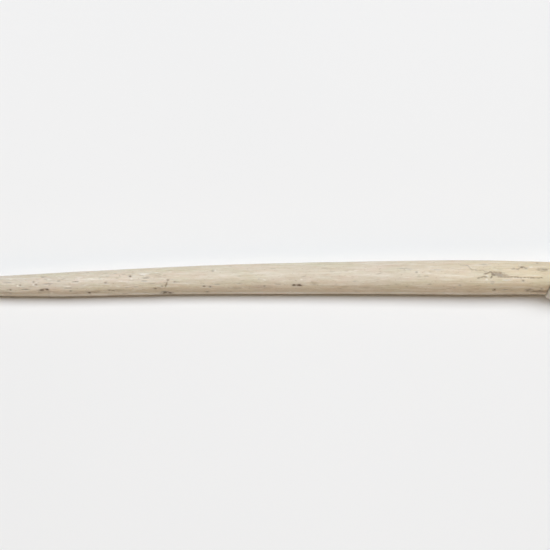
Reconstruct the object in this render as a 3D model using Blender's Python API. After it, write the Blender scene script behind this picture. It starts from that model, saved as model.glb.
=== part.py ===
"""A slim, hand-carved bone folder.

A long bone blade ends in a flattened folding tip. A paler collar ring and a butt handle sit behind it,
held on one hidden dowel, and two iron pins lock the dowel to the blade and to the handle.

Units are metres. The tool lies along X on the plane z = 0, with its tip towards -X.
"""

import math

import bmesh
import bpy
import numpy
from mathutils import Matrix, Vector

MM = 0.001
FIT_GAP = 0.3 * MM  # left between every two pieces

# Lengths along the tool, counted back from the folding tip.
BLADE_LENGTH = 190.7 * MM
COLLAR_WIDTH = 5.2 * MM
HANDLE_LENGTH = 28.8 * MM

# The blade: at each distance from the tip its width, its thickness, how far its middle lies to +Y,
# and how far its underside is above the plane that it rests on. Below the plane it is worn flat.
BLADE_STATIONS = (
    (0.0, 4.4 * MM, 1.6 * MM, -2.9 * MM, 1.3 * MM),
    (12.0 * MM, 5.0 * MM, 3.4 * MM, -2.7 * MM, 1.05 * MM),
    (27.0 * MM, 5.95 * MM, 5.1 * MM, -2.38 * MM, 0.8 * MM),
    (45.0 * MM, 7.2 * MM, 5.8 * MM, -1.95 * MM, 0.45 * MM),
    (75.0 * MM, 8.15 * MM, 6.5 * MM, -0.88 * MM, 0.0),
    (95.0 * MM, 8.9 * MM, 6.75 * MM, -0.42 * MM, -0.2 * MM),
    (115.0 * MM, 9.4 * MM, 7.05 * MM, -0.1 * MM, -0.15 * MM),
    (140.0 * MM, 9.85 * MM, 7.5 * MM, 0.1 * MM, 0.0),
    (170.0 * MM, 10.25 * MM, 7.95 * MM, 0.18 * MM, 0.25 * MM),
    (190.7 * MM, 9.7 * MM, 8.1 * MM, 0.0, 0.45 * MM),
)
BLADE_RING_STEP = 3.3 * MM
TIP_ROUNDING = 4.0 * MM  # the length over which the outline rounds off to the tip
TIP_EDGE = 1.6 * MM  # the length over which the thickness rounds off to the tip
TIP_BLUNTNESS = 0.3  # the share of the thickness that is left at the very end
TIP_RINGS = 7
TIP_FIRST_TURN = 0.25  # radians along the outline's quarter ellipse, where the blunt end is cut

# The blade's cross-section has a soft ridge along its back. It wanders from the middle towards -Y.
RIDGE_AT_TIP = -0.02  # share of the width, towards +Y
RIDGE_AT_COLLAR = -0.17
RIDGE_WANDER = 2  # the higher, the later the ridge leaves the middle
SECTION_POINTS = 32

# The collar: an oval bead, cut slightly askew as the shoulders beside it are.
COLLAR_HALF_WIDTH = 5.95 * MM
COLLAR_HALF_HEIGHT = 5.15 * MM
COLLAR_EDGE_DROP = 0.75 * MM  # how far the bead falls off from its crown to its rims
COLLAR_BEAD_SQUARENESS = 4  # the higher, the flatter the crown and the tighter its rims
COLLAR_BEAD_RINGS = 9
COLLAR_POINTS = 48
COLLAR_SIDE = -0.5 * MM
ASKEW = 0.2  # the end faces move this far along X for each metre towards +Y
ASKEW_ONSET = 8  # the higher, the closer to the shoulder the blade's rings start to lean

# The butt handle: at each distance behind the collar its half width and half height.
HANDLE_STATIONS = (
    (0.0, 4.95 * MM, 4.2 * MM),
    (7.0 * MM, 5.0 * MM, 4.35 * MM),
    (14.5 * MM, 5.5 * MM, 4.9 * MM),
    (21.3 * MM, 5.7 * MM, 5.15 * MM),
    (28.8 * MM, 5.3 * MM, 4.8 * MM),
)
HANDLE_DOME = 7.5 * MM  # the length over which the butt rounds off
HANDLE_BODY_RINGS = 10
HANDLE_DOME_RINGS = 8
HANDLE_DOME_TURN = math.radians(84.6)  # short of 90 degrees, which leaves a small flat at the end
HANDLE_SIDE = -0.35 * MM
HANDLE_HEIGHT = 4.95 * MM

# The dowel that joins blade, collar and handle.
DOWEL_RADIUS = 2.0 * MM
DOWEL_IN_BLADE = 24.0 * MM
DOWEL_IN_HANDLE = 17.0 * MM
DOWEL_SIDE = -0.15 * MM
DOWEL_HEIGHT = 4.6 * MM
DOWEL_CHAMFER = 0.4 * MM
DOWEL_CHAMFER_ANGLE = math.radians(60)  # edges that turn more than this are chamfered
DOWEL_POINTS = 24

# The pins: driven in from the -Y flank, square to the dowel, through it and into the far wall.
PIN_RADIUS = 0.5 * MM
PIN_SLOPE = math.radians(28)  # how far a pin's head points up from level
PIN_FAR_REACH = 3.2 * MM  # past the dowel's axis
PIN_END_DOME = 0.12 * MM
PIN_DOME_STEPS = ((0.0, 1.0), (0.7, 0.75), (1.0, 0.35))  # shares of the dome's height and of the radius
PIN_POINTS = 16
BLADE_PIN_BEFORE_COLLAR = 16.55 * MM
BLADE_PIN_HEAD_REACH = 3.9 * MM  # from the dowel's axis to the edge of the pin's domed end
HANDLE_PIN_BEHIND_COLLAR = 10.0 * MM
HANDLE_PIN_HEAD_REACH = 5.2 * MM

CUTTER_OVERRUN = 2.0 * MM  # how far a cutter runs out past the face that it opens
SMOOTH_SHADING_ANGLE = math.radians(40)

COLLAR_START = BLADE_LENGTH + FIT_GAP
COLLAR_END = COLLAR_START + COLLAR_WIDTH
HANDLE_START = COLLAR_END + FIT_GAP

MATERIALS = {
    # colour, roughness, metallic
    "aged_bone": ((0.70, 0.62, 0.49), 0.45, 0.0),
    "pale_bone": ((0.78, 0.74, 0.66), 0.38, 0.0),
    "dowel_bone": ((0.66, 0.56, 0.40), 0.6, 0.0),
    "rusty_iron": ((0.13, 0.055, 0.035), 0.75, 0.6),
}


def clear_scene():
    for thing in list(bpy.data.objects):
        bpy.data.objects.remove(thing, do_unlink=True)


def material(name):
    """The Principled material of this name, made on its first use."""
    if name in bpy.data.materials:
        return bpy.data.materials[name]
    colour, roughness, metallic = MATERIALS[name]
    made = bpy.data.materials.new(name)
    made.use_nodes = True
    shader = made.node_tree.nodes["Principled BSDF"]
    shader.inputs["Base Color"].default_value = (*colour, 1.0)
    shader.inputs["Roughness"].default_value = roughness
    shader.inputs["Metallic"].default_value = metallic
    made.diffuse_color = (*colour, 1.0)
    return made


def object_from(shape, name, material_name=None):
    """Turns a bmesh into an object in the scene, its faces out and its round sides smooth."""
    bmesh.ops.recalc_face_normals(shape, faces=shape.faces)
    mesh = bpy.data.meshes.new(name)
    shape.to_mesh(mesh)
    shape.free()
    made = bpy.data.objects.new(name, mesh)
    bpy.context.scene.collection.objects.link(made)
    if material_name:
        mesh.materials.append(material(material_name))
    mesh.shade_smooth()
    mesh.set_sharp_from_angle(angle=SMOOTH_SHADING_ANGLE)
    return made


def lofted(rings, hollow=False):
    """A bmesh skin through rings of points. It has end faces, or closes on its own start when hollow."""
    shape = bmesh.new()
    loops = [[shape.verts.new(point) for point in ring] for ring in rings]
    pairs = list(zip(loops, loops[1:]))
    if hollow:
        pairs.append((loops[-1], loops[0]))
    for near, far in pairs:
        for i in range(len(near)):
            j = (i + 1) % len(near)
            shape.faces.new((near[i], near[j], far[j], far[i]))
    if not hollow:
        shape.faces.new(loops[0])
        shape.faces.new(loops[-1])
    return shape


def law(stations, column):
    """A smooth curve through one column of the stations, as a function of the distance in column 0."""
    places = [row[0] for row in stations]
    values = [row[column] for row in stations]
    slopes = numpy.gradient(values, places)

    def at(place):
        i = int(numpy.clip(numpy.searchsorted(places, place) - 1, 0, len(places) - 2))
        span = places[i + 1] - places[i]
        t = (place - places[i]) / span
        rise = 3 * t**2 - 2 * t**3
        leave = (t - 2 * t**2 + t**3) * span * slopes[i]
        arrive = (t**3 - t**2) * span * slopes[i + 1]
        return float(values[i] * (1 - rise) + values[i + 1] * rise + leave + arrive)

    return at


def rounded_off(distance, length):
    """1 away from an end, and down to 0 at it along a quarter ellipse of this length."""
    short = max(0.0, 1 - distance / length)
    return math.sqrt(1 - short**2)


def blade_section(ridge):
    """The blade's outline in a box 1 wide (y about 0) and 1 high (z from 0).

    It is a soft D with a ridge, and its flank on the -Y side is a long slope down to a blunt edge.
    """
    controls = numpy.array(
        (
            (-0.12, 0.0),
            (0.12, 0.0),
            (0.34, 0.0),
            (0.52, 0.16),
            (0.52, 0.52),
            (0.37, 0.86),
            (ridge + 0.24, 1.0),
            (ridge + 0.02, 1.03),
            (-0.30, 0.96),
            (-0.45, 0.76),
            (-0.60, 0.60),
            (-0.51, 0.24),
            (-0.34, 0.0),
        )
    )
    points = []
    for step in range(SECTION_POINTS):
        whole, t = divmod(step * len(controls) / SECTION_POINTS, 1.0)
        near = [controls[(int(whole) + k) % len(controls)] for k in (-1, 0, 1, 2)]
        weights = ((1 - t) ** 3, 3 * t**3 - 6 * t**2 + 4, -3 * t**3 + 3 * t**2 + 3 * t + 1, t**3)
        points.append(sum(weight * point for weight, point in zip(weights, near)) / 6)
    points = numpy.array(points)
    low = points.min(axis=0)
    high = points.max(axis=0)
    return (points - low) / (high - low) - (0.5, 0.0)


def blade_places():
    """Where the blade's rings lie: close together round the tip, then evenly back to the shoulder."""
    turns = numpy.linspace(TIP_FIRST_TURN, math.pi / 2, TIP_RINGS)
    tip = TIP_ROUNDING * (1 - numpy.cos(turns))
    body = numpy.linspace(TIP_ROUNDING, BLADE_LENGTH, round((BLADE_LENGTH - TIP_ROUNDING) / BLADE_RING_STEP))
    return [float(place) for place in (*tip, *body[1:])]


def blade_rings():
    width, thickness, side, lift = (law(BLADE_STATIONS, column) for column in (1, 2, 3, 4))
    rings = []
    for place in blade_places():
        along = place / BLADE_LENGTH
        ridge = RIDGE_AT_TIP + (RIDGE_AT_COLLAR - RIDGE_AT_TIP) * along**RIDGE_WANDER
        wide = width(place) * rounded_off(place, TIP_ROUNDING)
        full = thickness(place)
        thick = full * (TIP_BLUNTNESS + (1 - TIP_BLUNTNESS) * rounded_off(place, TIP_EDGE))
        base = lift(place) + (full - thick) / 2
        ring = []
        for y, z in blade_section(ridge):
            y = side(place) + wide * y
            z = max(base + thick * z, 0.0)
            x = place + ASKEW * along**ASKEW_ONSET * (y - COLLAR_SIDE)
            ring.append((x, y, z))
        rings.append(ring)
    return rings


def oval(x, side, height, half_width, half_height, points, skewed=1.0):
    """A ring round the X direction, leaning with the askew end faces, and never below z = 0."""
    ring = []
    for step in range(points):
        turn = 2 * math.pi * step / points
        y = side + half_width * math.cos(turn)
        z = height + half_height * math.sin(turn)
        ring.append((x + skewed * ASKEW * (y - COLLAR_SIDE), y, max(z, 0.0)))
    return ring


def rod(name, radius, start, end, points, material_name=None):
    """A round solid between two places."""
    shape = bmesh.new()
    run = end - start
    turned = run.to_track_quat("Z", "Y").to_matrix().to_4x4()
    placed = Matrix.Translation((start + end) / 2) @ turned
    bmesh.ops.create_cone(
        shape,
        cap_ends=True,
        segments=points,
        radius1=radius,
        radius2=radius,
        depth=run.length,
        matrix=placed,
    )
    return object_from(shape, name, material_name)


def cut(piece, cutter):
    """Takes the cutter's shape out of the piece."""
    cutter.hide_render = True
    cutter.display_type = "WIRE"
    cutting = piece.modifiers.new(cutter.name, "BOOLEAN")
    cutting.operation = "DIFFERENCE"
    cutting.object = cutter


def on_dowel(x, away=0.0):
    """A point this far out from the dowel's axis, along a pin's direction."""
    out = Vector((0.0, -math.cos(PIN_SLOPE), math.sin(PIN_SLOPE)))
    return Vector((x, DOWEL_SIDE, DOWEL_HEIGHT)) + away * out


def make_blade():
    return object_from(lofted(blade_rings()), "bone_blade", "aged_bone")


def make_collar():
    """The bead's outer rings from front to back, then the bore's two rings, joined into one ring."""
    rings = []
    for share in numpy.linspace(0.0, 1.0, COLLAR_BEAD_RINGS):
        drop = COLLAR_EDGE_DROP * (2 * share - 1) ** COLLAR_BEAD_SQUARENESS
        rings.append(
            oval(
                COLLAR_START + share * COLLAR_WIDTH,
                COLLAR_SIDE,
                COLLAR_HALF_HEIGHT,
                COLLAR_HALF_WIDTH - drop,
                COLLAR_HALF_HEIGHT - drop,
                COLLAR_POINTS,
            )
        )
    bore = DOWEL_RADIUS + FIT_GAP
    for x in (COLLAR_END, COLLAR_START):
        rings.append(oval(x, DOWEL_SIDE, DOWEL_HEIGHT, bore, bore, COLLAR_POINTS))
    return object_from(lofted(rings, hollow=True), "collar_ring", "pale_bone")


def make_handle():
    half_width, half_height = (law(HANDLE_STATIONS, column) for column in (1, 2))
    body_end = HANDLE_LENGTH - HANDLE_DOME
    body = numpy.linspace(0.0, body_end, HANDLE_BODY_RINGS)
    turns = numpy.linspace(0.0, HANDLE_DOME_TURN, HANDLE_DOME_RINGS)
    dome = body_end + HANDLE_DOME * numpy.sin(turns)
    rings = []
    for behind in (float(place) for place in (*body, *dome[1:])):
        narrowed = rounded_off(HANDLE_LENGTH - behind, HANDLE_DOME)
        skewed = max(0.0, 1 - behind / body_end)
        rings.append(
            oval(
                HANDLE_START + behind,
                HANDLE_SIDE,
                HANDLE_HEIGHT,
                half_width(behind) * narrowed,
                half_height(behind) * narrowed,
                SECTION_POINTS,
                skewed,
            )
        )
    return object_from(lofted(rings), "butt_handle", "aged_bone")


def make_dowel():
    dowel = rod(
        "joining_dowel",
        DOWEL_RADIUS,
        on_dowel(BLADE_LENGTH - DOWEL_IN_BLADE),
        on_dowel(HANDLE_START + DOWEL_IN_HANDLE),
        DOWEL_POINTS,
        "dowel_bone",
    )
    chamfer = dowel.modifiers.new("chamfer", "BEVEL")
    chamfer.width = DOWEL_CHAMFER
    chamfer.segments = 1
    chamfer.limit_method = "ANGLE"
    chamfer.angle_limit = DOWEL_CHAMFER_ANGLE
    return dowel


def make_pin(name, x, head_reach):
    """A pin whose outer end is a low dome and whose inner end is flat."""
    axis = on_dowel(x, 1.0) - on_dowel(x)
    start = on_dowel(x, -PIN_FAR_REACH)
    across = axis.orthogonal().normalized()
    upright = axis.cross(across)
    turns = [2 * math.pi * step / PIN_POINTS for step in range(PIN_POINTS)]
    length = PIN_FAR_REACH + head_reach
    rings = []
    for rise, share in ((-length / PIN_END_DOME, 1.0), *PIN_DOME_STEPS):
        centre = start + (length + rise * PIN_END_DOME) * axis
        radius = share * PIN_RADIUS
        spokes = [math.cos(turn) * across + math.sin(turn) * upright for turn in turns]
        rings.append([centre + radius * spoke for spoke in spokes])
    return object_from(lofted(rings), name, "rusty_iron")


def drill_socket(piece, start_x, end_x):
    """The round hole that takes the dowel, with the gap all round it and past its end."""
    bore = DOWEL_RADIUS + FIT_GAP
    cut(piece, rod(f"{piece.name}_socket", bore, on_dowel(start_x), on_dowel(end_x), DOWEL_POINTS))


def drill_pin_hole(pieces, x, head_reach):
    """One hole for a pin, cut in the pieces that it goes through."""
    hole = rod(
        f"pin_hole_{pieces[0].name}",
        PIN_RADIUS + FIT_GAP,
        on_dowel(x, -PIN_FAR_REACH - FIT_GAP),
        on_dowel(x, head_reach + CUTTER_OVERRUN),
        PIN_POINTS,
    )
    for piece in pieces:
        cut(piece, hole)


def stand_on_plane(pieces):
    """Moves the tool as a whole, so that its box stands on z = 0 with its middle over the origin."""
    root = bpy.data.objects.new("folder_root", None)
    bpy.context.scene.collection.objects.link(root)
    points = numpy.array([vertex.co for piece in pieces for vertex in piece.data.vertices])
    low = points.min(axis=0)
    high = points.max(axis=0)
    root.location = (-(low[0] + high[0]) / 2, -(low[1] + high[1]) / 2, -low[2])
    for thing in bpy.data.objects:
        if thing is not root:
            thing.parent = root


def main():
    clear_scene()
    blade = make_blade()
    collar = make_collar()
    handle = make_handle()
    dowel = make_dowel()

    blade_pin_x = COLLAR_START - BLADE_PIN_BEFORE_COLLAR
    handle_pin_x = HANDLE_START + HANDLE_PIN_BEHIND_COLLAR
    blade_pin = make_pin("blade_pin", blade_pin_x, BLADE_PIN_HEAD_REACH)
    handle_pin = make_pin("handle_pin", handle_pin_x, HANDLE_PIN_HEAD_REACH)

    drill_socket(blade, BLADE_LENGTH - DOWEL_IN_BLADE - FIT_GAP, BLADE_LENGTH + CUTTER_OVERRUN)
    drill_socket(handle, HANDLE_START - CUTTER_OVERRUN, HANDLE_START + DOWEL_IN_HANDLE + FIT_GAP)
    drill_pin_hole((blade, dowel), blade_pin_x, BLADE_PIN_HEAD_REACH)
    drill_pin_hole((handle, dowel), handle_pin_x, HANDLE_PIN_HEAD_REACH)

    stand_on_plane((blade, collar, handle, dowel, blade_pin, handle_pin))


main()
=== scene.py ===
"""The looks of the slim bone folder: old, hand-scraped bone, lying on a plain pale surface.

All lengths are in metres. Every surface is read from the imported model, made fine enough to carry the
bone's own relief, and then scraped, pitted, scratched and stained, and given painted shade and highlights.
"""

import math

import bpy
import numpy as np
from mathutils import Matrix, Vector
from mathutils.bvhtree import BVHTree


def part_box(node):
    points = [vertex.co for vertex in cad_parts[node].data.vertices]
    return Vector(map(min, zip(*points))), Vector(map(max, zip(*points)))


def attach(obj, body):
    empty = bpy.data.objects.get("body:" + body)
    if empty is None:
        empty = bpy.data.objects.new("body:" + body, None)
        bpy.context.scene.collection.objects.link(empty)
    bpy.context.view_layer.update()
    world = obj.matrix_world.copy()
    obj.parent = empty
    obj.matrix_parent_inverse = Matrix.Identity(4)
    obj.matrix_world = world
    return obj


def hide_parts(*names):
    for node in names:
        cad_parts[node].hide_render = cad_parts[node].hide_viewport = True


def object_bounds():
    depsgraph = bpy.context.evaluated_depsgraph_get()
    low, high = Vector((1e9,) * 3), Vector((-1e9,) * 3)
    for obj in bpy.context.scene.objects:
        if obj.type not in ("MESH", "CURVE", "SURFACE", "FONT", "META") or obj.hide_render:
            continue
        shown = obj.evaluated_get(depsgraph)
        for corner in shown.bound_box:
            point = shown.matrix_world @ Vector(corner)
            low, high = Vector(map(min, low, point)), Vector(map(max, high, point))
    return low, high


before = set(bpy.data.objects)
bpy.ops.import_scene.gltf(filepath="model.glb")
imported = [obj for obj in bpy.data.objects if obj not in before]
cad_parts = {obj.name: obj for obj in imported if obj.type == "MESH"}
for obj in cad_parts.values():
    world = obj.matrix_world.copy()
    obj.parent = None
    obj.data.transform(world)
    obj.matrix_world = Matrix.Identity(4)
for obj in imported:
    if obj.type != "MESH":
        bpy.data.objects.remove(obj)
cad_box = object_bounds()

MM = 0.001

# The camera looks straight down, as far back as a tabletop camera stands.
VIEW_WIDTH = 165 * MM
VIEW_MIDDLE_FROM_TIP = 108.8 * MM
VIEW_MIDDLE_PAST_COLLAR = 1.4 * MM  # towards +Y from the collar's middle
CAMERA_HEIGHT = 0.36
VIEWED_HEIGHT = 3.7 * MM  # of the blade's widest outline above the floor
SENSOR_WIDTH = 36.0  # in millimetres, as the lens's length is

# The light is one wide soft box overhead, all of it on the +Y side, and a weak warm one low on the other.
LIGHT_HEIGHT = 3.2
LIGHT_FROM = math.radians(7.3)  # from straight overhead to its near edge, and then to its far edge
LIGHT_TO = math.radians(42)
LIGHT_LENGTH = 7.0
LIGHT_TO_RIGHT = 0.8
LIGHT_POWER = 239.0
LIGHT_COLOUR = (0.935, 0.967, 1.0)
FILL_DISTANCE = 3.0
FILL_ELEVATION = math.radians(33)
FILL_SIZE = (4.0, 1.5)
FILL_POWER = 18.5
FILL_COLOUR = (1.0, 0.73, 0.46)
AMBIENT = 0.04
AMBIENT_COLOUR = (1.0, 0.79, 0.59)
WALL_COLOUR = (0.80, 0.80, 0.80)  # what is seen beyond the floor; it gives no light

FLOOR_RADIUS = 1.3
FLOOR_SIDES = 96
FLOOR_DROP = 0.02 * MM  # below the plane that the bone lies on

# How finely the bone's skins are made.
RING_STEP = 0.25 * MM
COLLAR_RING_STEP = 0.1 * MM
END_RINGS = 30  # round the blade's tip and round the butt
BLADE_AROUND = 120
HANDLE_AROUND = 128
COLLAR_AROUND = 180
BLADE_SMOOTHING = 8.0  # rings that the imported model's facets are smoothed over
SMOOTHING = 4.0  # the same on the collar and the handle
SMOOTHING_AROUND = 1.6  # the same in points round a ring
TOP_DENSITY = 0.3  # points move towards the top of each ring, which is looked at most

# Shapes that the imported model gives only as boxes.
ASKEW = 0.2  # the end faces beside the collar move this far along X for each metre towards +Y
TIP_ROUNDING = 4 * MM
BUTT_ROUNDING = 7.5 * MM
DOWEL_HOLE_RADIUS = 2.3 * MM
PIN_RADIUS = 0.5 * MM
PIN_SLOPE = math.radians(28)
PIN_OUT = np.array((0.0, -math.cos(PIN_SLOPE), math.sin(PIN_SLOPE)))  # the way a pin's head points
PIN_DOME = 0.15 * MM
PIN_DOME_RINGS = 8
PIN_BODY_RINGS = 40
PIN_AROUND = 40
PIN_BRIDGE = 1.6 * MM  # the skin is bridged over this far on each side of a pin
PIN_STAIN_WIDTH = 2.0 * MM
PIN_SEAT_WIDTH = 1.35 * MM
DOWEL_END_ROOM = 0.3 * MM  # from each end of the dowel to the bottom of its hole
BLADE_INSET = 0.02 * MM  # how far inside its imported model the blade's skin starts and ends
INSET = 0.01 * MM  # the same at the collar and the handle
CLOSER = 0.11 * MM  # each side of a joint is drawn this far into its gap, to a hairline
EASED_EDGE = 0.18 * MM  # how far the edges at the joints are worn back

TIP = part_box("bone_blade")[0].x
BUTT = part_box("butt_handle")[1].x
collar_low, collar_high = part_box("collar_ring")
dowel_low, dowel_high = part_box("joining_dowel")
collar_middle = (collar_low + collar_high) / 2
dowel_middle = (dowel_low + dowel_high) / 2


# Noise and smoothing

HASH_FACTORS = (73856093, 19349663, 83492791, 40503)  # large odd numbers that mix x, y, z and the seed
HASH_STIR = 1274126177
HALF_OF_16_BITS = 32767.5


def lattice_noise(points, cell, seed):
    """Smooth noise from -1 to 1 at each point, with one random value to each cell of this size."""
    scaled = points / np.array(cell)
    corner = np.floor(scaled).astype(np.int64)
    part = scaled - corner
    part = part * part * (3 - 2 * part)
    total = np.zeros(points.shape[:-1])
    for shift in np.ndindex(2, 2, 2):
        at = corner + shift
        keys = [at[..., 0], at[..., 1], at[..., 2], seed]
        blend = keys[0] * HASH_FACTORS[0]
        for key, factor in zip(keys[1:], HASH_FACTORS[1:]):
            blend = blend ^ (key * factor)
        blend = ((blend ^ (blend >> 13)) & 0xFFFFFFFF) * HASH_STIR
        value = ((blend >> 16) & 0xFFFF) / HALF_OF_16_BITS - 1
        total += value * np.prod(np.where(shift, part, 1 - part), axis=-1)
    return total


def blurred(values, width, wrap=False):
    """Values averaged along the first axis with a bell of this width, in samples.

    Unless the axis wraps round, the two end values stay as they are.
    """
    reach = math.ceil(3 * width)
    if wrap:
        padded = np.concatenate((values[-reach:], values, values[:reach]))
    else:
        before = 2 * values[:1] - values[reach:0:-1]
        after = 2 * values[-1:] - values[-2 : -reach - 2 : -1]
        padded = np.concatenate((before, values, after))
    shares = np.exp(-0.5 * (np.arange(-reach, reach + 1) / width) ** 2)
    shares /= shares.sum()
    return sum(share * padded[i : i + len(values)] for i, share in enumerate(shares))


def step_up(values, start, end):
    """0 up to start, 1 from end on, and smooth between them."""
    t = np.clip((values - start) / (end - start), 0, 1)
    return t * t * (3 - 2 * t)


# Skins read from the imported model


def node_points(name):
    return np.array([vertex.co[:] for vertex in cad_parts[name].data.vertices])


def span(name, lean):
    """The first and last place of a CAD node, measured square to planes that lean by so much."""
    points = node_points(name)
    places = points[:, 0] - lean * (points[:, 1] - collar_middle.y)
    return float(places.min()), float(places.max())


def ring_turns(around):
    even = np.arange(around) * 2 * math.pi / around
    return even + TOP_DENSITY * np.cos(even)


def outer_skin(name, places, leans, around, smooth, pin=None):
    """Points on the outside of a CAD node, as an array of rings by points by 3.

    Each ring lies in a plane at its place along X that leans by so much X for each metre of Y. The
    facets are smoothed away over so many rings. The hole of the pin named is bridged over.
    """
    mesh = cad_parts[name].data
    corners = node_points(name)
    edges = np.array([edge.vertices[:] for edge in mesh.edges])
    tree = BVHTree.FromPolygons(corners.tolist(), [tuple(face.vertices) for face in mesh.polygons])
    turns = ring_turns(around)
    circle = np.stack((np.cos(turns), np.sin(turns)), axis=-1)
    middles = []
    halves = []
    for place, lean in zip(places, leans):
        ahead = corners[:, 0] - place - lean * (corners[:, 1] - collar_middle.y)
        first, second = ahead[edges[:, 0]], ahead[edges[:, 1]]
        crossed = (first < 0) != (second < 0)
        share = (first / np.where(crossed, first - second, 1))[crossed, None]
        met = corners[edges[crossed, 0]] * (1 - share) + corners[edges[crossed, 1]] * share
        low, high = met[:, 1:].min(axis=0), met[:, 1:].max(axis=0)
        middles.append((low + high) / 2)
        halves.append((high - low) / 2)
    middles = np.array(middles)
    halves = np.array(halves)
    shares = np.ones((len(places), around))
    for i, (place, lean) in enumerate(zip(places, leans)):
        y, z = middles[i]
        centre = Vector((place + lean * (y - collar_middle.y), y, z))
        for j, (dy, dz) in enumerate(halves[i] * circle):
            out = Vector((lean * dy, dy, dz))
            hit = tree.ray_cast(centre + 3 * out, -out)[0]
            if hit is not None:
                shares[i, j] = (hit - centre).length / out.length
    if pin:
        low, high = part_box(pin)
        near = np.abs(places - (low.x + high.x) / 2) < PIN_BRIDGE
        bridged = [np.interp(places[near], places[~near], column) for column in shares[~near].T]
        shares[near] = np.array(bridged).T
    middles = blurred(middles, smooth)
    halves = blurred(halves, smooth)
    shares = blurred(shares, smooth)
    shares = blurred(shares.T, SMOOTHING_AROUND, wrap=True).T
    yz = middles[:, None, :] + shares[..., None] * halves[:, None, :] * circle
    x = places[:, None] + np.array(leans)[:, None] * (yz[..., 0] - collar_middle.y)
    return np.concatenate((x[..., None], yz), axis=-1)


def outward(skin):
    """The unit normal at each point of a skin whose rings run along X."""
    along = np.gradient(skin, axis=0)
    round_it = np.roll(skin, -1, axis=1) - np.roll(skin, 1, axis=1)
    normals = np.cross(round_it, along)
    normals /= np.linalg.norm(normals, axis=-1, keepdims=True) + 1e-12
    from_middle = skin - skin.mean(axis=1, keepdims=True)
    return normals * np.sign((normals * from_middle).sum(axis=-1, keepdims=True))


def girth(skin):
    """How far round its ring each point lies, in metres."""
    steps = np.linalg.norm(skin - np.roll(skin, 1, axis=1), axis=-1)
    steps[:, 0] = 0
    return np.cumsum(steps, axis=1)


# Marks: what time and tools have left on the bone, and painted shade and painted highlights


class Surface:
    """A skin with its relief and its stains, painted shade and painted highlights, which the marks add to.
    """

    def __init__(self, skin):
        self.skin = skin
        self.normals = outward(skin)
        self.girth = girth(skin)
        self.height = np.zeros(skin.shape[:2])
        self.dents = np.zeros(skin.shape[:2])
        self.uneven = 0.45 * lattice_noise(skin, (0.6 * MM, 0.35 * MM, 0.35 * MM), seed=7)
        self.grime_and_shade = np.zeros(skin.shape[:2])
        self.pale = np.zeros(skin.shape[:2])
        self.warmth = np.zeros(skin.shape[:2])

    def spot(self, x, across):
        """The ring and point on the top side at x, across from -1 at the -Y outline to 1 at the +Y one."""
        ring = int(np.abs(self.skin[:, :, 0].mean(axis=1) - x).argmin())
        sides = self.skin[ring, :, 1]
        wanted = (sides.max() + sides.min()) / 2 + across * (sides.max() - sides.min()) / 2
        off = np.abs(sides - wanted) + 1.0 * (self.normals[ring, :, 2] < 0)
        return ring, int(off.argmin())

    def mark(self, ring, point, length, width, depth, grime_and_shade=0.0, pale=0.0, warmth=0.0, slant=0.0, soft=1.0):
        """An oval dent with an uneven edge. Slant turns it, in degrees. A low soft makes its wall steep."""
        from_x = self.skin[:, point, 0] - self.skin[ring, point, 0]
        rows = np.abs(from_x) < length + width
        from_x = self.skin[rows, :, 0] - self.skin[ring, point, 0]
        from_side = self.girth[rows] - self.girth[rows, point][:, None]
        whole = self.girth[rows, -1:]
        from_side -= whole * np.round(from_side / whole)
        turn = math.radians(slant)
        along = from_x * math.cos(turn) + from_side * math.sin(turn)
        across = from_side * math.cos(turn) - from_x * math.sin(turn)
        inside = 1 - (2 * along / length) ** 2 - (2 * across / width) ** 2 + self.uneven[rows]
        inside = np.clip(inside, 0, 1) ** soft
        self.dents[rows] = np.maximum(self.dents[rows], depth * inside)
        for stain, amount in ((self.grime_and_shade, grime_and_shade), (self.pale, pale), (self.warmth, warmth)):
            stain[rows] = np.maximum(stain[rows], amount * inside)

    def finished(self):
        """The skin with its relief."""
        return self.skin + (self.height - self.dents)[..., None] * self.normals


# Hand-scraped facets, long shallow scrape lines and fine grain, as depth, length and width in millimetres.
RELIEF = ((0.06, 14, 4.0), (0.03, 8, 1.3), (0.016, 4, 0.5), (0.008, 1.2, 0.6))


def add_bone_relief(surface, seed):
    for depth, length, width in RELIEF:
        cell = (length * MM, width * MM, width * MM)
        surface.height += depth * MM * lattice_noise(surface.skin, cell, seed)
        seed += 1


PORE_GRIME = 0.5


def add_pores(surface, count, seed, longest=2.6, deepest=0.12, lower=0.0):
    """Random open pores, drawn out along the bone. Lower keeps this share of them off the top side.

    The longest and the deepest are in millimetres.
    """
    draw = np.random.default_rng(seed)
    rings, around = surface.height.shape
    for _ in range(count):
        ring = int(draw.uniform() * (rings - 1))
        point = int(draw.integers(around))
        size = draw.uniform() ** 2.5
        slant = draw.normal(0, 6)
        dark = PORE_GRIME * draw.uniform(0.2, 1.0)
        if surface.normals[ring, point, 2] > 0.2 and draw.uniform() < lower:
            continue
        length = (0.5 + size * (longest - 0.5)) * MM
        width = (0.3 + 0.2 * size) * MM
        surface.mark(ring, point, length, width, (0.03 + size * deepest) * MM, dark, slant=slant, soft=0.8)


# Meshes


def mesh_object(name, points, faces, attributes, material):
    """A smooth-shaded object from points and faces, with a value at each point for each attribute."""
    mesh = bpy.data.meshes.new(name)
    mesh.from_pydata(points.reshape(-1, 3).tolist(), [], faces)
    mesh.shade_smooth()
    for label, values in attributes.items():
        layer = mesh.attributes.new(label, "FLOAT", "POINT")
        layer.data.foreach_set("value", np.ascontiguousarray(values, dtype=np.float32).ravel())
    mesh.materials.append(material)
    made = bpy.data.objects.new(name, mesh)
    bpy.context.scene.collection.objects.link(made)
    return made


def ring_faces(rings, around, closed=False):
    """Quads between neighbouring rings, and between the last and the first when closed."""
    faces = []
    for i in range(rings if closed else rings - 1):
        after = (i + 1) % rings
        for j in range(around):
            k = (j + 1) % around
            faces.append((i * around + j, i * around + k, after * around + k, after * around + j))
    return faces


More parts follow.
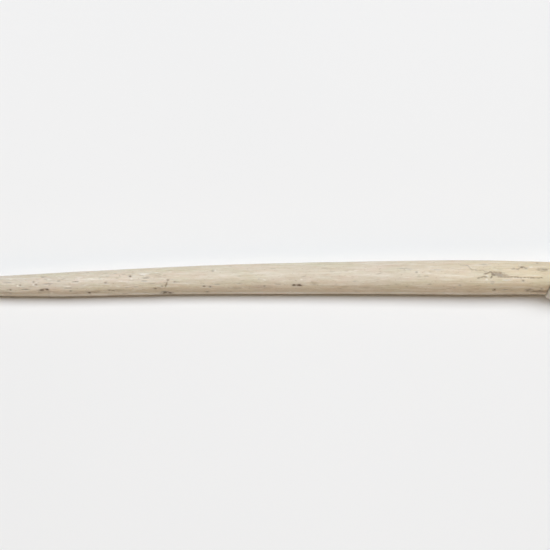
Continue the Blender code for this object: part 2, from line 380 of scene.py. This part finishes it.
def shrunk(ring, share, shift=0.0):
    """A smaller copy of a ring about its middle, moved along X."""
    middle = ring.mean(axis=0)
    return middle + share * (ring - middle) + np.array((shift, 0.0, 0.0))


def eased_edge(ring, outwards):
    """Rings that carry a worn edge from an end ring of a skin to its end face, in order outwards."""
    reach = np.linalg.norm(ring - ring.mean(axis=0), axis=-1).mean()
    rings = []
    for turn in np.linspace(0, math.pi / 2, 5)[1:]:
        inwards = EASED_EDGE * (1 - math.cos(turn)) / reach
        rings.append(shrunk(ring, 1 - inwards, outwards * CLOSER * math.sin(turn)))
    return rings


def bore_ring(place, lean, around):
    """A ring of the dowel's hole."""
    turns = ring_turns(around)
    y = dowel_middle.y + DOWEL_HOLE_RADIUS * np.cos(turns)
    z = dowel_middle.z + DOWEL_HOLE_RADIUS * np.sin(turns)
    return np.stack((place + lean * (y - collar_middle.y), y, z), axis=-1)


def bone_object(name, surface, front, back, material, hollow=False):
    """A closed solid from a surface and the extra rings at its two ends.

    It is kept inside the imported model's box.
    """
    rings = np.concatenate((np.array(front), surface.finished(), np.array(back)))
    rings = np.clip(rings, np.array(cad_box[0]), np.array(cad_box[1]))
    around = rings.shape[1]
    faces = ring_faces(len(rings), around, closed=hollow)
    if not hollow:
        last = (len(rings) - 1) * around
        faces.append(tuple(reversed(range(around))))
        faces.append(tuple(range(last, last + around)))
    attributes = {}
    for label, values in (("grime_and_shade", surface.grime_and_shade), ("pale", surface.pale), ("warmth", surface.warmth)):
        before = np.repeat(values[:1], len(front), axis=0)
        after = np.repeat(values[-1:], len(back), axis=0)
        attributes[label] = np.concatenate((before, values, after))
    return mesh_object(name, rings, faces, attributes, material)


# Materials


def node(tree, kind, **settings):
    made = tree.nodes.new(kind)
    for key, value in settings.items():
        setattr(made, key, value)
    return made


def stretched_noise(tree, place, cell, detail, offset=0.0):
    """Noise whose cells are this long, wide and high, in metres. Returns the value's socket."""
    mapping = node(tree, "ShaderNodeMapping")
    mapping.inputs["Scale"].default_value = tuple(1 / size for size in cell)
    mapping.inputs["Location"].default_value = (offset, offset, offset)
    tree.links.new(place, mapping.inputs["Vector"])
    noise = node(tree, "ShaderNodeTexNoise")
    noise.inputs["Scale"].default_value = 1.0
    noise.inputs["Detail"].default_value = detail
    noise.inputs["Roughness"].default_value = 0.55
    tree.links.new(mapping.outputs["Vector"], noise.inputs["Vector"])
    return noise.outputs["Fac"]


def mapped(tree, value, low, high, to_low=0.0, to_high=1.0):
    """The value moved from one range to another and held inside it."""
    change = node(tree, "ShaderNodeMapRange")
    for label, number in (("From Min", low), ("From Max", high), ("To Min", to_low), ("To Max", to_high)):
        change.inputs[label].default_value = number
    tree.links.new(value, change.inputs["Value"])
    return change.outputs["Result"]


def mixed(tree, share, first, second):
    """Two colours mixed by a share that is a socket. Each colour is a socket or plain numbers."""
    mix = node(tree, "ShaderNodeMix", data_type="RGBA")
    tree.links.new(share, mix.inputs[0])
    for index, value in ((6, first), (7, second)):
        if isinstance(value, bpy.types.NodeSocket):
            tree.links.new(value, mix.inputs[index])
        else:
            mix.inputs[index].default_value = (*value, 1.0)
    return mix.outputs[2]


def attribute(tree, label):
    return node(tree, "ShaderNodeAttribute", attribute_name=label).outputs["Fac"]


def new_material(name):
    material = bpy.data.materials.new(name)
    material.use_nodes = True
    tree = material.node_tree
    place = node(tree, "ShaderNodeTexCoord").outputs["Object"]
    return material, tree, tree.nodes["Principled BSDF"], place


def add_bump(tree, shader, height, strength, distance):
    bump = node(tree, "ShaderNodeBump")
    bump.inputs["Strength"].default_value = strength
    bump.inputs["Distance"].default_value = distance
    tree.links.new(height, bump.inputs["Height"])
    tree.links.new(bump.outputs["Normal"], shader.inputs["Normal"])


GREY_TO_CREAM = (-95 * MM, -45 * MM)  # where one gives way to the other, along X
CREAM_TO_YELLOW = (30 * MM, 80 * MM)
PINKISH = (0.72, 0.56, 0.46)
OLIVE = (0.59, 0.545, 0.385)
PALE = (0.86, 0.81, 0.72)
PORE_BROWN = (0.32, 0.22, 0.13)
# The colour of dirt, and of the painted shade in the recess of the nutrient opening.
GRIME_AND_SHADE = (0.15, 0.10, 0.055)


def bone_material(name, grey, cream, yellow, tan, brown, speckle=1.0, roughness=0.5):
    """Old bone: greyer to the tip and yellower to the butt, with dirt in its grain and its hollows, painted
    shade on its flank and in the recess of its nutrient opening, and painted highlights.
    """
    material, tree, shader, place = new_material(name)
    parts = node(tree, "ShaderNodeSeparateXYZ")
    tree.links.new(place, parts.inputs["Vector"])
    along_x = parts.outputs["X"]
    clouds = stretched_noise(tree, place, (18 * MM, 4 * MM, 4 * MM), 3.0)
    blush = stretched_noise(tree, place, (11 * MM, 3 * MM, 3 * MM), 2.0, offset=5.0)
    streaks = stretched_noise(tree, place, (9 * MM, 0.55 * MM, 0.55 * MM), 4.0, offset=3.0)
    grain = stretched_noise(tree, place, (2.4 * MM, 0.3 * MM, 0.3 * MM), 3.0, offset=7.0)
    specks = stretched_noise(tree, place, (0.9 * MM, 0.35 * MM, 0.35 * MM), 2.0, offset=11.0)

    colour = mixed(tree, mapped(tree, along_x, *GREY_TO_CREAM), grey, cream)
    colour = mixed(tree, mapped(tree, along_x, *CREAM_TO_YELLOW), colour, yellow)
    colour = mixed(tree, mapped(tree, blush, 0.48, 0.68, 0.0, 0.45), colour, PINKISH)
    colour = mixed(tree, mapped(tree, clouds, 0.44, 0.64, 0.0, 0.6), colour, OLIVE)
    # warmth: the painted shade on the flank turned from the light, and brown stains
    colour = mixed(tree, attribute(tree, "warmth"), colour, tan)
    colour = mixed(tree, mapped(tree, streaks, 0.53, 0.7, 0.0, 0.4), colour, brown)
    colour = mixed(tree, mapped(tree, streaks, 0.46, 0.3, 0.0, 0.4), colour, PALE)
    colour = mixed(tree, mapped(tree, grain, 0.56, 0.72, 0.0, 0.45 * speckle), colour, brown)
    colour = mixed(tree, mapped(tree, grain, 0.44, 0.28, 0.0, 0.35 * speckle), colour, PALE)
    colour = mixed(tree, mapped(tree, specks, 0.64, 0.76, 0.0, 0.6 * speckle), colour, PORE_BROWN)
    # pale: pale scratches, and painted highlights on lit rims, beside pits and along the lower edge
    colour = mixed(tree, attribute(tree, "pale"), colour, PALE)
    # grime: dirt in pits, pores and cracks, and painted shade in the recess of the nutrient opening
    colour = mixed(tree, attribute(tree, "grime_and_shade"), colour, GRIME_AND_SHADE)
    tree.links.new(colour, shader.inputs["Base Color"])

    gloss = mapped(tree, streaks, 0.3, 0.7, roughness - 0.08, roughness + 0.14)
    tree.links.new(gloss, shader.inputs["Roughness"])
    shader.inputs["Specular IOR Level"].default_value = 0.5
    shader.inputs["Subsurface Weight"].default_value = 0.12
    shader.inputs["Subsurface Radius"].default_value = (1.0, 0.6, 0.35)
    shader.inputs["Subsurface Scale"].default_value = 0.7 * MM
    add_bump(tree, shader, grain, 0.3, 0.05 * MM)
    return material


def rust_material():
    material, tree, shader, place = new_material("rusty_iron")
    blotches = stretched_noise(tree, place, (0.35 * MM,) * 3, 4.0)
    colour = mixed(tree, mapped(tree, blotches, 0.35, 0.65), (0.08, 0.035, 0.02), (0.26, 0.12, 0.06))
    tree.links.new(colour, shader.inputs["Base Color"])
    tree.links.new(mapped(tree, blotches, 0.3, 0.7, 0.55, 0.9), shader.inputs["Roughness"])
    shader.inputs["Metallic"].default_value = 0.3
    add_bump(tree, shader, blotches, 0.5, 0.05 * MM)
    return material


def floor_material():
    material, tree, shader, place = new_material("pale_surface")
    tone = stretched_noise(tree, place, (0.25, 0.25, 0.25), 2.0)
    colour = mixed(tree, mapped(tree, tone, 0.3, 0.7), (0.85, 0.85, 0.85), (0.87, 0.87, 0.87))
    tree.links.new(colour, shader.inputs["Base Color"])
    shader.inputs["Roughness"].default_value = 0.9
    shader.inputs["Specular IOR Level"].default_value = 0.1
    return material


# The pieces

# The blade's own marks. Each has its distance from the tip in millimetres, how far across it lies
# (-1 on the outline at the steep flank, 1 on the other one), its length in millimetres and how dark
# it is. Above 1, it is wider too. The distances from the tip are as the camera sees them.
PITS = (
    (29.3, -0.42, 0.8, 0.8),
    (32.4, 0.00, 0.6, 0.7),
    (37.1, 0.05, 0.8, 0.7),
    (36.4, 0.30, 0.7, 0.6),
    (38.9, -0.48, 1.8, 1.3),
    (40.5, -0.42, 1.2, 1.1),
    (47.6, -0.60, 1.0, 0.6),
    (53.2, -0.77, 1.3, 1.2),
    (58.0, 0.00, 1.0, 0.6),
    (59.2, -0.62, 0.8, 0.7),
    (60.2, -0.64, 1.2, 0.8),
    (65.4, 0.43, 0.9, 0.8),
    (72.8, -0.58, 1.2, 0.8),
    (74.8, -0.40, 0.6, 0.6),
    (75.8, -0.90, 1.7, 2.0),
    (76.6, 0.05, 0.7, 0.7),
    (77.3, -0.92, 1.5, 1.8),
    (78.6, -0.12, 0.7, 0.6),
    (87.4, -0.45, 0.9, 0.8),
    (89.3, -0.50, 0.9, 0.7),
    (90.1, 0.60, 0.9, 0.6),
    (105.6, -0.50, 0.8, 0.7),
    (114.5, -0.45, 1.5, 1.1),
    (115.9, -0.45, 1.9, 1.3),
    (151.1, 0.33, 0.9, 0.5),
    (164.3, -0.47, 1.0, 0.4),
    (180.0, 0.55, 1.0, 0.6),
    (182.3, 0.64, 1.3, 1.0),
    (183.6, 0.58, 1.1, 0.5),
    (183.4, -0.20, 0.8, 0.6),
    (186.6, 0.93, 1.0, 0.7),
    (188.7, 0.55, 0.9, 0.6),
    (189.5, -0.68, 0.8, 0.6),
)
STREAKS = (
    (28.9, 0.31, 2.1, 0.6),
    (29.4, -0.78, 1.3, 0.6),
    (33.8, -0.38, 2.6, 0.8),
    (39.2, 0.72, 2.2, 1.0),
    (40.6, 0.06, 3.6, 0.7),
    (44.0, 0.29, 1.5, 0.7),
    (46.6, -0.33, 2.6, 0.6),
    (49.0, 0.19, 2.2, 0.7),
    (55.0, -0.78, 3.0, 0.6),
    (60.8, 0.71, 1.5, 0.5),
    (67.1, -0.39, 2.2, 0.4),
    (69.8, 0.24, 2.7, 0.7),
    (69.6, 0.03, 2.3, 0.6),
    (79.2, -0.12, 2.0, 0.5),
    (88.3, -0.85, 2.2, 1.0),
    (91.4, -0.33, 2.2, 0.5),
    (98.4, -0.30, 2.4, 0.5),
    (103.2, 0.20, 0.8, 0.4),
    (104.0, 0.00, 0.8, 0.4),
    (132.6, -0.22, 1.6, 0.4),
    (147.1, 0.56, 4.2, 0.5),
    (149.1, 0.50, 2.4, 0.4),
    (157.4, 0.44, 4.5, 0.35),
    (162.8, -0.62, 1.4, 0.5),
    (171.0, 0.74, 2.9, 0.6),
    (174.9, 0.20, 2.2, 0.7),
    (175.6, 0.09, 3.0, 0.6),
    (174.1, -0.25, 1.6, 0.5),
    (174.1, -0.38, 1.4, 0.5),
    (178.3, -0.74, 2.4, 0.7),
)
# Broad and shallow: as above, and then their width in millimetres. Each is a dent darkened and browned;
# round the nutrient opening near 175 mm the darkening is painted shade in its recess.
HOLLOWS = (
    (27.6, -0.72, 5.0, 0.4, 1.6),
    (39.7, -0.52, 4.2, 0.6, 1.7),
    (54.1, -0.72, 6.0, 0.4, 1.4),
    (61.6, -0.66, 4.0, 0.35, 1.4),
    (73.9, -0.60, 3.0, 0.4, 1.2),
    (76.8, -0.93, 4.2, 0.9, 1.6),
    (97.1, -0.62, 4.5, 0.4, 1.3),
    (104.6, -0.60, 10.0, 0.35, 2.0),
    (120.2, -0.38, 3.0, 0.4, 1.6),
    (129.6, -0.60, 2.4, 0.3, 1.2),
    (135.6, -0.62, 3.6, 0.3, 1.3),
    (142.6, -0.50, 1.5, 0.3, 0.8),
    (174.5, 0.22, 2.0, 1.3, 1.6),
    (175.8, 0.20, 3.2, 1.0, 1.9),
    (177.0, 0.12, 5.0, 0.7, 1.3),
    (185.6, -0.78, 3.2, 1.0, 2.0),
    (188.4, -0.86, 8.0, 1.0, 1.6),
    (188.8, 0.50, 4.4, 0.9, 1.4),
)
# Painted highlights beside the pits, where their edges catch the light: distance from the tip, across and
# length.
PAINTED_PIT_GLINTS = (
    (31.6, 0.00, 0.6),
    (37.1, 0.20, 1.2),
    (36.4, 0.05, 0.8),
    (46.4, -0.20, 2.8),
    (65.7, 0.24, 0.9),
    (69.4, 0.55, 3.4),
    (90.8, 0.60, 0.8),
    (116.8, -0.07, 0.8),
    (172.5, 0.12, 1.4),
    (172.3, -0.10, 0.9),
    (178.6, -0.15, 3.4),
    (185.1, 0.62, 1.6),
)
# Cracks: the places from the tip and across that each runs through, then how dark it is.
CRACKS = (
    (((164.3, 0.72), (166.3, 0.70), (167.6, 0.45), (170.9, 0.40), (172.6, 0.27), (174.0, 0.28)), 0.4),
    (((171.6, 0.20), (173.3, 0.32), (174.3, 0.22), (173.6, -0.02)), 1.0),
    (((169.8, -0.04), (171.2, 0.02), (172.1, 0.04)), 0.8),
    (((176.0, 0.03), (183.6, 0.01), (189.0, -0.02)), 0.75),
    (((179.6, 0.50), (181.4, 0.52), (182.6, 0.66), (183.6, 0.57)), 0.7),
    (((76.4, -0.15), (75.9, -0.38)), 0.8),
)
PIT_WIDTH = 0.7 * MM
PIT_DEPTH = 0.24 * MM
HALO_LENGTH = 2.2  # of the stain and painted highlight round a pit, for each length of the pit
HALO_WIDTH = 1.7
HALO_DEPTH = 0.05 * MM
STREAK_WIDTH = 0.45 * MM
STREAK_DEPTH = 0.15 * MM
# Each streak has a wider, very shallow dent painted pale along it: a painted highlight of its lit edge.
STREAK_RIM_WIDTH = 0.8 * MM
STREAK_RIM_DEPTH = 0.02 * MM
HOLLOW_DEPTH = 0.3 * MM
GLINT_WIDTH = 0.7 * MM
CRACK_STEP = 0.35 * MM
CRACK_LENGTH = 0.9 * MM  # of each small mark in it
CRACK_WIDTH = 0.42 * MM
CRACK_DEPTH = 0.15 * MM


def seen_spot(surface, from_tip, across):
    """The ring and point of a mark that looks, from the camera, to be this far from the tip.

    What lies above the outline is nearer to the camera, so it looks further out from the view's middle.
    """
    from_middle = from_tip * MM - VIEW_MIDDLE_FROM_TIP
    ring, point = surface.spot(TIP + VIEW_MIDDLE_FROM_TIP + from_middle, across)
    nearer = (surface.skin[ring, point, 2] - VIEWED_HEIGHT) / (CAMERA_HEIGHT - VIEWED_HEIGHT)
    return surface.spot(TIP + VIEW_MIDDLE_FROM_TIP + from_middle * (1 - nearer), across)


def add_blade_marks(surface):
    for from_tip, across, length, dark in PITS:
        ring, point = seen_spot(surface, from_tip, across)
        length *= MM
        width = PIT_WIDTH * max(dark, 1)
        depth = PIT_DEPTH * min(dark, 1.3)
        halo = (HALO_LENGTH * length, HALO_WIDTH * width, HALO_DEPTH)
        # a stain round the pit, with a pale painted highlight on its lit rim
        surface.mark(ring, point, *halo, grime_and_shade=0.25 * dark, pale=0.2)
        surface.mark(ring, point, length, width, depth, grime_and_shade=min(0.95 * dark, 1), soft=0.5)
    for from_tip, across, length, dark in STREAKS:
        ring, point = seen_spot(surface, from_tip, across)
        length *= MM
        # painted highlight along the streak's lit edge
        surface.mark(ring, point, 1.2 * length, STREAK_RIM_WIDTH, STREAK_RIM_DEPTH, pale=0.3)
        surface.mark(ring, point, length, STREAK_WIDTH, STREAK_DEPTH * dark, grime_and_shade=0.85 * dark, soft=0.6)
    for from_tip, across, length, dark, width in HOLLOWS:
        ring, point = seen_spot(surface, from_tip, across)
        size = (length * MM, width * MM, HOLLOW_DEPTH * dark)
        # darkened and browned; round the nutrient opening this is painted shade in its recess
        surface.mark(ring, point, *size, grime_and_shade=0.55 * dark, warmth=dark)
    # painted highlights where pit edges catch the light
    for from_tip, across, length in PAINTED_PIT_GLINTS:
        ring, point = seen_spot(surface, from_tip, across)
        surface.mark(ring, point, length * MM, GLINT_WIDTH, 0.0, pale=0.7)
    for path, dark in CRACKS:
        add_crack(surface, path, dark)


def add_crack(surface, path, dark):
    """A crack as a row of small marks that overlap, along a path of places from the tip and across."""
    for (start, start_across), (end, end_across) in zip(path, path[1:]):
        here = seen_spot(surface, start, start_across)
        there = seen_spot(surface, end, end_across)
        ahead = surface.skin[there][0] - surface.skin[here][0]
        aside = surface.girth[there] - surface.girth[here]
        slant = math.degrees(math.atan2(aside, ahead))
        steps = math.ceil(math.hypot(ahead, aside) / CRACK_STEP) + 1
        for share in np.linspace(0, 1, steps):
            from_tip = start + share * (end - start)
            ring, point = seen_spot(surface, from_tip, start_across + share * (end_across - start_across))
            size = (CRACK_LENGTH, CRACK_WIDTH, CRACK_DEPTH * dark)
            surface.mark(ring, point, *size, grime_and_shade=0.85 * dark, slant=slant, soft=0.6)


def add_scratches(surface, count, seed, first, last):
    """Short, thin scratches on the top side, dark or pale, between two distances from the tip."""
    draw = np.random.default_rng(seed)
    for _ in range(count):
        ring, point = surface.spot(TIP + draw.uniform(first, last), draw.uniform(-0.92, 0.92))
        length = draw.uniform(0.8, 2.6) * MM
        width = draw.uniform(0.28, 0.45) * MM
        slant = draw.normal(0, 7)
        if draw.uniform() < 0.6:
            surface.mark(ring, point, length, width, 0.05 * MM, grime_and_shade=draw.uniform(0.1, 0.4), slant=slant)
        else:
            surface.mark(ring, point, length, width, 0.02 * MM, pale=draw.uniform(0.2, 0.6), slant=slant)


# Painted highlight along the blade's lower edge, where light from the floor falls on it.
EDGE_HIGHLIGHT_REACH = (0.4 * MM, 0.8 * MM)  # full up to here from the outline, and gone from here on
EDGE_HIGHLIGHT_FADES = (18 * MM, 8 * MM)  # in front of the collar


def add_lower_edge_highlight(surface, most):
    """Painted highlight: the blade's blunt lower edge at the steep flank is painted pale where light from
    the floor falls on it.
    """
    sides = surface.skin[..., 1]
    from_edge = sides - sides.min(axis=1, keepdims=True)
    full, gone = EDGE_HIGHLIGHT_REACH
    edge = step_up(-from_edge, -gone, -full) * step_up(surface.normals[..., 2], -0.3, 0.0)
    patchy = 0.65 + 0.35 * lattice_noise(surface.skin, (7 * MM, 5 * MM, 5 * MM), seed=61)
    fade_start, fade_end = (collar_low.x - before for before in EDGE_HIGHLIGHT_FADES)
    less_at_collar = 1 - 0.7 * step_up(surface.skin[..., 0], fade_start, fade_end)
    surface.pale = np.maximum(surface.pale, most * edge * patchy * less_at_collar)


def seat_pin(surface, pin):
    """A stained seat round the place where a pin's head meets the surface."""
    low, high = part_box(pin)
    middle = np.array((low + high) / 2)
    ring = int(np.abs(surface.skin[:, :, 0].mean(axis=1) - middle[0]).argmin())
    away = surface.skin[ring] - middle
    reach = away @ PIN_OUT
    off = np.linalg.norm(away - reach[:, None] * PIN_OUT, axis=-1) + (reach < 0)
    point = int(off.argmin())
    surface.mark(ring, point, PIN_STAIN_WIDTH, PIN_STAIN_WIDTH, 0.04 * MM, warmth=0.8)
    surface.mark(ring, point, PIN_SEAT_WIDTH, PIN_SEAT_WIDTH, 0.16 * MM, grime_and_shade=0.3, soft=0.4)


def add_painted_flank_shade(surface, most):
    """Painted shade: the steep flank, turned from the main light, and the underside are painted browner."""
    turned_away = 0.5 - 0.5 * surface.normals[..., 2]
    facing_back = surface.normals[..., 1]
    sideways = np.where(facing_back < 0, -0.5, -0.3) * facing_back
    surface.warmth = most * step_up(turned_away + sideways, 0.06, 0.5)


def make_blade(material):
    _, last = span("bone_blade", ASKEW)
    first = TIP + BLADE_INSET
    turns = np.linspace(0, math.pi / 2, END_RINGS)[:-1]
    tip_places = first + TIP_ROUNDING * (1 - np.cos(turns))
    body_start = first + TIP_ROUNDING
    count = round((last - body_start) / RING_STEP)
    places = np.concatenate((tip_places, np.linspace(body_start, last - BLADE_INSET, count)))
    leans = ASKEW * ((places - TIP) / (last - TIP)) ** 8  # nearly all of it close to the collar
    skin = outer_skin("bone_blade", places, leans, BLADE_AROUND, BLADE_SMOOTHING, pin="blade_pin")
    surface = Surface(skin)
    # painted shade on the blade's flank turned from the light
    add_painted_flank_shade(surface, 0.55)
    add_bone_relief(surface, seed=11)
    # painted highlight along the lower edge
    add_lower_edge_highlight(surface, 0.75)
    add_pores(surface, count=260, seed=21, lower=0.93)
    add_scratches(surface, count=230, seed=22, first=2 * MM, last=78 * MM)
    add_scratches(surface, count=70, seed=23, first=78 * MM, last=188 * MM)
    add_blade_marks(surface)
    seat_pin(surface, "blade_pin")
    outline = surface.finished()
    front = [shrunk(outline[0], share, -BLADE_INSET) for share in (0.25, 0.6, 0.9)]
    back = [
        *eased_edge(outline[-1], 1),
        bore_ring(last + CLOSER, ASKEW, BLADE_AROUND),
        bore_ring(dowel_low.x - DOWEL_END_ROOM, 0.0, BLADE_AROUND),
    ]
    return bone_object("blade", surface, front, back, material)


def make_collar(material):
    first, last = span("collar_ring", ASKEW)
    places = np.linspace(first + INSET, last - INSET, round((last - first) / COLLAR_RING_STEP))
    skin = outer_skin("collar_ring", places, np.full(len(places), ASKEW), COLLAR_AROUND, SMOOTHING)
    surface = Surface(skin)
    draw = np.random.default_rng(31)
    lines = draw.normal(0, 1, len(places))
    surface.height += 0.012 * MM * blurred(lines, 0.8)[:, None]
    surface.height += 0.04 * MM * lattice_noise(skin, (3 * MM, 3 * MM, 3 * MM), seed=33)
    surface.height += 0.01 * MM * lattice_noise(skin, (0.6 * MM, 0.9 * MM, 0.9 * MM), seed=34)
    # painted shade, weaker, on the collar's side turned from the light
    add_painted_flank_shade(surface, 0.15)
    add_pores(surface, count=90, seed=32, longest=1.2, deepest=0.08)
    outline = surface.finished()
    front = [bore_ring(first - CLOSER, ASKEW, COLLAR_AROUND), *reversed(eased_edge(outline[0], -1))]
    back = [*eased_edge(outline[-1], 1), bore_ring(last + CLOSER, ASKEW, COLLAR_AROUND)]
    return bone_object("collar", surface, front, back, material, hollow=True)


def make_handle(material):
    first, _ = span("butt_handle", ASKEW)
    dome_start = BUTT - BUTT_ROUNDING
    count = round((dome_start - first) / RING_STEP)
    turns = np.linspace(0, 0.97 * math.pi / 2, END_RINGS)[1:]
    places = np.linspace(first + INSET, dome_start, count)
    places = np.concatenate((places, dome_start + BUTT_ROUNDING * np.sin(turns)))
    leans = ASKEW * (1 - step_up(places, first, dome_start))
    skin = outer_skin("butt_handle", places, leans, HANDLE_AROUND, SMOOTHING, pin="handle_pin")
    surface = Surface(skin)
    # painted shade on the handle's flank turned from the light
    add_painted_flank_shade(surface, 0.55)
    add_bone_relief(surface, seed=41)
    add_pores(surface, count=110, seed=42)
    add_scratches(surface, count=60, seed=43, first=197 * MM, last=223 * MM)
    seat_pin(surface, "handle_pin")
    outline = surface.finished()
    front = [
        bore_ring(dowel_high.x + DOWEL_END_ROOM, 0.0, HANDLE_AROUND),
        bore_ring(first - CLOSER, ASKEW, HANDLE_AROUND),
        *reversed(eased_edge(outline[0], -1)),
    ]
    back = [shrunk(outline[-1], share, INSET) for share in (0.8, 0.4)]
    return bone_object("handle", surface, front, back, material)


def make_pin(cad_name, name, material):
    """A hand-made pin: a slightly uneven rod with domed ends."""
    low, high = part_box(cad_name)
    middle = np.array((low + high) / 2)
    side = np.array((1.0, 0.0, 0.0))
    up = np.cross(PIN_OUT, side)
    half_length = ((high.y - low.y) / 2 - PIN_RADIUS * math.sin(PIN_SLOPE)) / math.cos(PIN_SLOPE)
    bend = np.linspace(math.pi / 2, 0, PIN_DOME_RINGS)[:, None]
    dome = half_length - PIN_DOME * (1 - np.sin(bend))
    dome_width = 0.15 + 0.85 * np.cos(bend)
    body = np.linspace(-1, 1, PIN_BODY_RINGS)[1:-1, None] * (half_length - PIN_DOME)
    reaches = np.concatenate((-dome, body, dome[::-1]))
    widths = np.concatenate((dome_width, np.ones_like(body), dome_width[::-1])) * PIN_RADIUS
    turns = np.arange(PIN_AROUND) * 2 * math.pi / PIN_AROUND
    spread = np.cos(turns)[:, None] * side + np.sin(turns)[:, None] * up
    points = middle + reaches[..., None] * PIN_OUT + widths[..., None] * spread
    points -= 0.03 * MM * (1 + lattice_noise(points, (0.3 * MM,) * 3, seed=51))[..., None] * spread
    faces = ring_faces(len(points), PIN_AROUND)
    last = (len(points) - 1) * PIN_AROUND
    faces.append(tuple(reversed(range(PIN_AROUND))))
    faces.append(tuple(range(last, last + PIN_AROUND)))
    return mesh_object(name, points, faces, {}, material)


def make_stage():
    turns = np.arange(FLOOR_SIDES) * 2 * math.pi / FLOOR_SIDES
    x, y = FLOOR_RADIUS * np.cos(turns), FLOOR_RADIUS * np.sin(turns)
    edge = np.stack((x, y, np.full(FLOOR_SIDES, -FLOOR_DROP)), axis=-1)
    floor = mesh_object("floor", edge, [tuple(range(FLOOR_SIDES))], {}, floor_material())


def add_lamp(name, size, power, colour, location, tilt=0.0):
    """A rectangular soft box that shines down, or tilted up from there about X."""
    lamp = bpy.data.lights.new(name, "AREA")
    lamp.shape = "RECTANGLE"
    lamp.size, lamp.size_y = size
    lamp.energy = power
    lamp.color = colour
    made = bpy.data.objects.new(name, lamp)
    made.location = location
    made.rotation_euler = (tilt, 0.0, 0.0)
    bpy.context.scene.collection.objects.link(made)


def make_lights():
    near, far = LIGHT_HEIGHT * math.tan(LIGHT_FROM), LIGHT_HEIGHT * math.tan(LIGHT_TO)
    overhead = (LIGHT_TO_RIGHT, (near + far) / 2, LIGHT_HEIGHT)
    add_lamp("softbox", (LIGHT_LENGTH, far - near), LIGHT_POWER, LIGHT_COLOUR, overhead)
    across, up = math.cos(FILL_ELEVATION), math.sin(FILL_ELEVATION)
    aside = (0.0, -FILL_DISTANCE * across, FILL_DISTANCE * up)
    add_lamp("fill", FILL_SIZE, FILL_POWER, FILL_COLOUR, aside, math.pi / 2 - FILL_ELEVATION)


def make_world():
    """A weak warm light from all round. The camera sees a pale wall in its place."""
    world = bpy.data.worlds.new("studio")
    bpy.context.scene.world = world
    world.use_nodes = True
    tree = world.node_tree
    ambient = tree.nodes["Background"]
    ambient.inputs["Color"].default_value = (*AMBIENT_COLOUR, 1.0)
    ambient.inputs["Strength"].default_value = AMBIENT
    wall = node(tree, "ShaderNodeBackground")
    wall.inputs["Color"].default_value = (*WALL_COLOUR, 1.0)
    choice = node(tree, "ShaderNodeMixShader")
    tree.links.new(node(tree, "ShaderNodeLightPath").outputs["Is Camera Ray"], choice.inputs[0])
    tree.links.new(ambient.outputs[0], choice.inputs[1])
    tree.links.new(wall.outputs[0], choice.inputs[2])
    tree.links.new(choice.outputs[0], tree.nodes["World Output"].inputs["Surface"])


def make_camera():
    lens = bpy.data.cameras.new("camera")
    lens.sensor_width = SENSOR_WIDTH
    lens.lens = SENSOR_WIDTH * (CAMERA_HEIGHT - VIEWED_HEIGHT) / VIEW_WIDTH
    lens.clip_start = 0.01
    camera = bpy.data.objects.new("camera", lens)
    camera.location = (TIP + VIEW_MIDDLE_FROM_TIP, collar_middle.y + VIEW_MIDDLE_PAST_COLLAR, CAMERA_HEIGHT)
    bpy.context.scene.collection.objects.link(camera)
    bpy.context.scene.camera = camera


bpy.context.scene.view_settings.view_transform = "Standard"
make_camera()
make_stage()
make_lights()
make_world()

# tan colours the painted shade on each flank turned from the light, and the brown stains.
aged_bone = bone_material(
    "aged_bone",
    grey=(0.615, 0.545, 0.45),
    cream=(0.66, 0.578, 0.46),
    yellow=(0.70, 0.57, 0.385),
    tan=(0.55, 0.44, 0.305),
    brown=(0.50, 0.385, 0.26),
)
pale_bone = bone_material(
    "pale_bone",
    grey=(0.89, 0.86, 0.79),
    cream=(0.89, 0.86, 0.79),
    yellow=(0.89, 0.86, 0.79),
    tan=(0.80, 0.73, 0.62),
    brown=(0.66, 0.58, 0.46),
    speckle=0.5,
    roughness=0.42,
)
dowel_bone = bone_material(
    "dowel_bone",
    grey=(0.62, 0.50, 0.36),
    cream=(0.62, 0.50, 0.36),
    yellow=(0.62, 0.50, 0.36),
    tan=(0.56, 0.44, 0.30),
    brown=(0.50, 0.37, 0.24),
)
rusty_iron = rust_material()

for made, replaced, slot in (
    (make_blade(aged_bone), "bone_blade", "aged_bone"),
    (make_collar(pale_bone), "collar_ring", "pale_bone"),
    (make_handle(aged_bone), "butt_handle", "aged_bone"),
    (make_pin("blade_pin", "pin_in_blade", rusty_iron), "blade_pin", "rusty_iron"),
    (make_pin("handle_pin", "pin_in_handle", rusty_iron), "handle_pin", "rusty_iron"),
):
    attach(made, "root")
    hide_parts(replaced)

dowel_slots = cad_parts["joining_dowel"].data.materials
dowel_slots.clear()
dowel_slots.append(dowel_bone)
